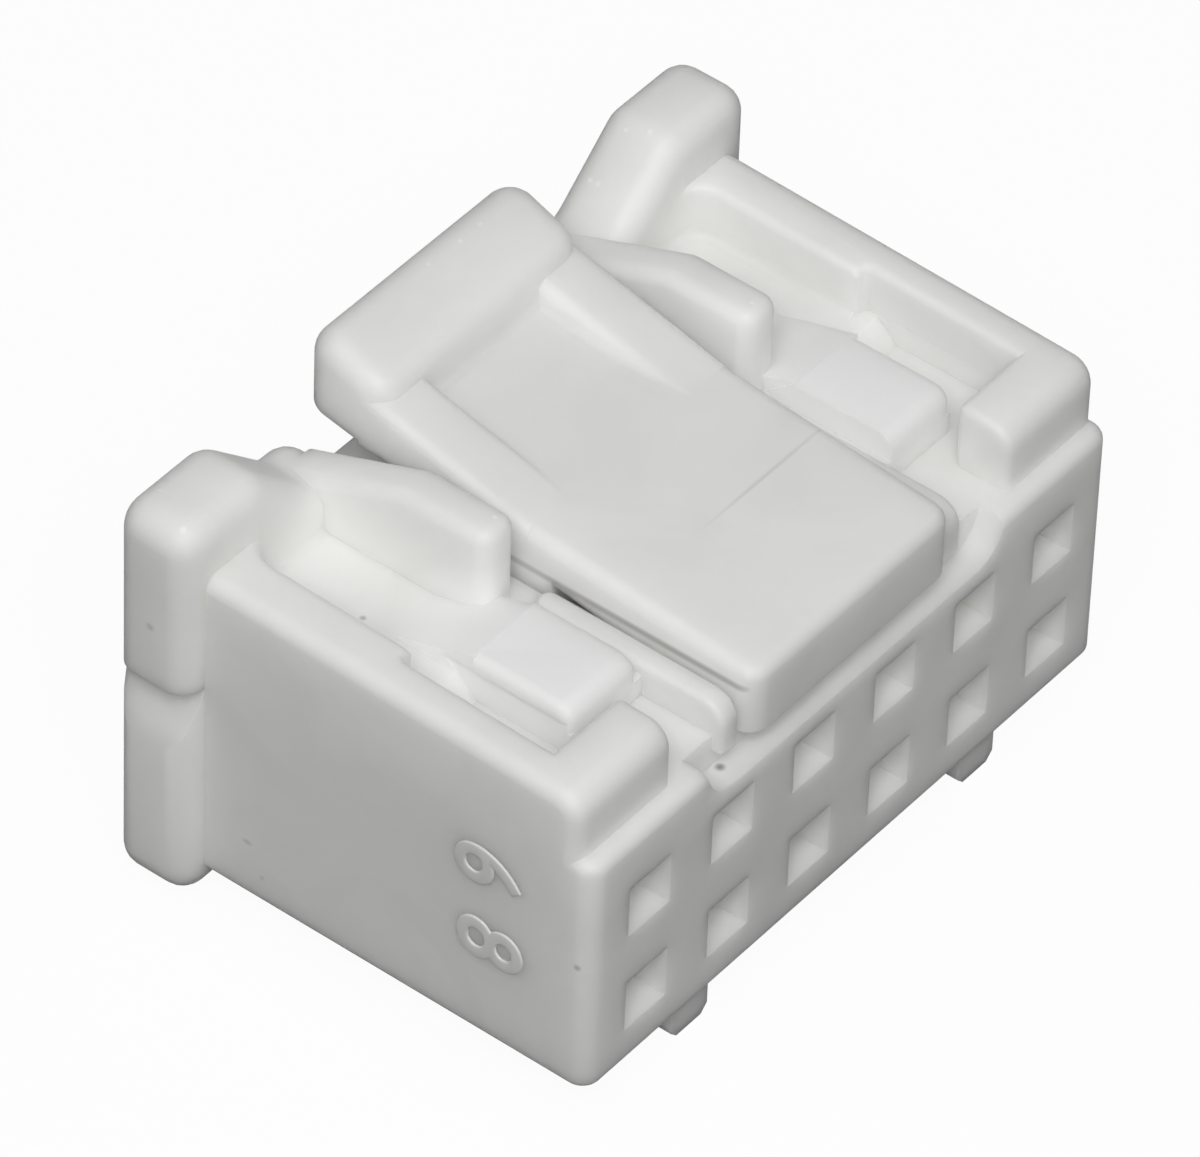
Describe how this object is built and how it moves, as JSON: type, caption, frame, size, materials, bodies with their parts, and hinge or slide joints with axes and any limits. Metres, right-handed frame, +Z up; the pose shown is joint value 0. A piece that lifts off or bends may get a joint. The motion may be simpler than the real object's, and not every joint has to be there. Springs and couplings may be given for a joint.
{
  "type": "wire to board connector housing",
  "caption": "Rectangular double-row receptacle housing for crimped wire contacts, with a see-saw lock lever, guard fins and finger ears, that plugs into a board header.",
  "frame": {"origin": "middle of the contact grid, on the mating face", "axes": "+X along the contact rows, +Y from the mating face towards the wires, +Z up through the lock lever"},
  "size_m": [0.0138, 0.0089, 0.0084],
  "materials": {
    "nylon": "moulded natural nylon, satin"
  },
  "bodies": {
    "root": {"housing": "nylon"}
  },
  "joints": []
}
